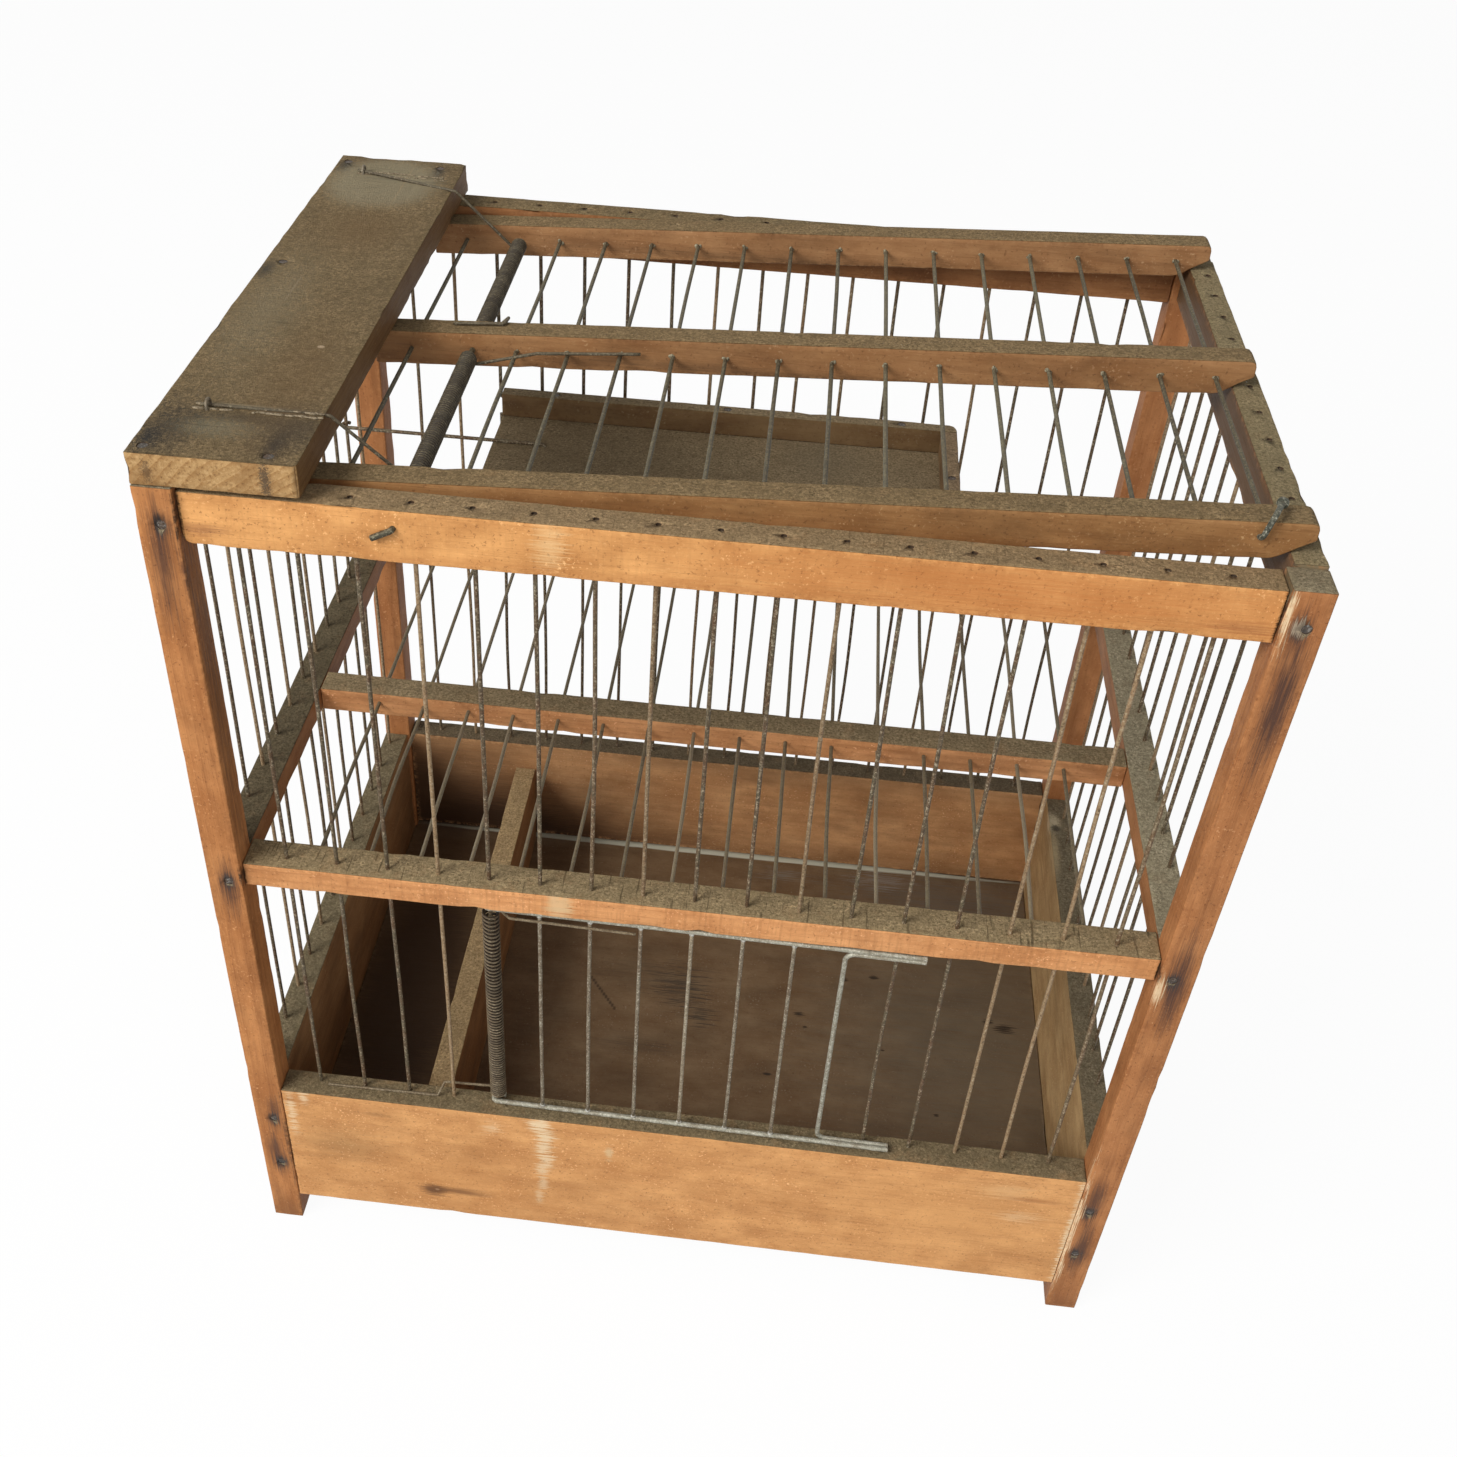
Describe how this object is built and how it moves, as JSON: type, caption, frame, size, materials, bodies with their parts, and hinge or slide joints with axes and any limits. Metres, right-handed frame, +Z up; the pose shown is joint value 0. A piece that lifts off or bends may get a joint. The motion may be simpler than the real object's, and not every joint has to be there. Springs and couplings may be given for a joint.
{
  "type": "sprung trap bird cage",
  "caption": "Two-storey wooden bird cage with wire walls, a wire grille floor, a sprung tilting lid, a sprung wire door and a tilting feed tray.",
  "frame": {"origin": "middle of the footprint's box at the level of the feet", "axes": "+X to the right as seen from the side with the wire door, +Y to the rear, +Z up"},
  "size_m": [0.385, 0.27, 0.4241],
  "materials": {
    "orange_wood": "aged softwood, orange on its faces and grey with dust on top",
    "dusty_wood": "dusty wood",
    "rusty_wire": "dull and rusted",
    "spring_wire": "dark and dusty",
    "nail_iron": "dark iron"
  },
  "bodies": {
    "cage": {"cross_rail": "orange_wood", "divider_board": "orange_wood", "door_axle": "rusty_wire", "door_spring": "spring_wire", "floor_board": "orange_wood", "front_board": "orange_wood", "front_lid_spring": "spring_wire", "front_mid_rail": "orange_wood", "front_top_rail": "orange_wood", "front_upper_wires": "rusty_wire", "front_wall_wires": "rusty_wire", "grille_wires": "rusty_wire", "left_board": "orange_wood", "left_mid_rail": "orange_wood", "left_top_rail": "orange_wood", "left_wall_wires": "rusty_wire", "lid_axle": "rusty_wire", "plank_nails": "nail_iron", "post_face_nails": "nail_iron", "post_front_left": "orange_wood", "post_front_right": "orange_wood", "post_rear_left": "orange_wood", "post_rear_right": "orange_wood", "rear_board": "orange_wood", "rear_lid_spring": "spring_wire", "rear_mid_rail": "orange_wood", "rear_top_rail": "orange_wood", "rear_wall_wires": "rusty_wire", "right_board": "orange_wood", "right_mid_rail": "orange_wood", "right_top_rail": "orange_wood", "right_wall_wires": "rusty_wire", "side_face_nails": "nail_iron", "spring_staples": "nail_iron", "top_plank": "orange_wood", "tray_hook_wires": "rusty_wire"},
    "lid": {"lid_front_bar": "orange_wood", "lid_middle_bar": "orange_wood", "lid_rear_bar": "orange_wood", "lid_wires": "rusty_wire", "lid_tail_wire": "rusty_wire", "lid_bent_nail": "nail_iron"},
    "door": {"door_top_wire": "rusty_wire", "door_bottom_wire": "rusty_wire", "door_bars": "rusty_wire", "door_edge_wire": "rusty_wire"},
    "tray": {"tray_floor": "dusty_wood", "tray_back_rim": "dusty_wood", "tray_right_rim": "dusty_wood", "tray_nails": "nail_iron", "tray_tie_wire": "rusty_wire", "tray_hinge_eyes": "rusty_wire"}
  },
  "joints": [
    {"name": "lid_hinge", "type": "hinge", "parent": "cage", "child": "lid", "pos_m": [-0.1065, 0, 0.398], "axis": [0, -1, 0], "range_deg": [0, 115], "stiffness_Nm_per_rad": 0.05, "springref_deg": -85.94, "deforming": ["front_lid_spring", "rear_lid_spring"]},
    {"name": "door_hinge", "type": "hinge", "parent": "cage", "child": "door", "pos_m": [-0.081, -0.1268, 0.16075], "axis": [0, 0, -1], "range_deg": [0, 120], "stiffness_Nm_per_rad": 0.005, "springref_deg": -57.3, "deforming": ["door_spring"]},
    {"name": "tray_tilt", "type": "hinge", "parent": "cage", "child": "tray", "pos_m": [0, 0.1252, 0.311], "axis": [1, 0, 0], "range_deg": [0, 5]}
  ]
}
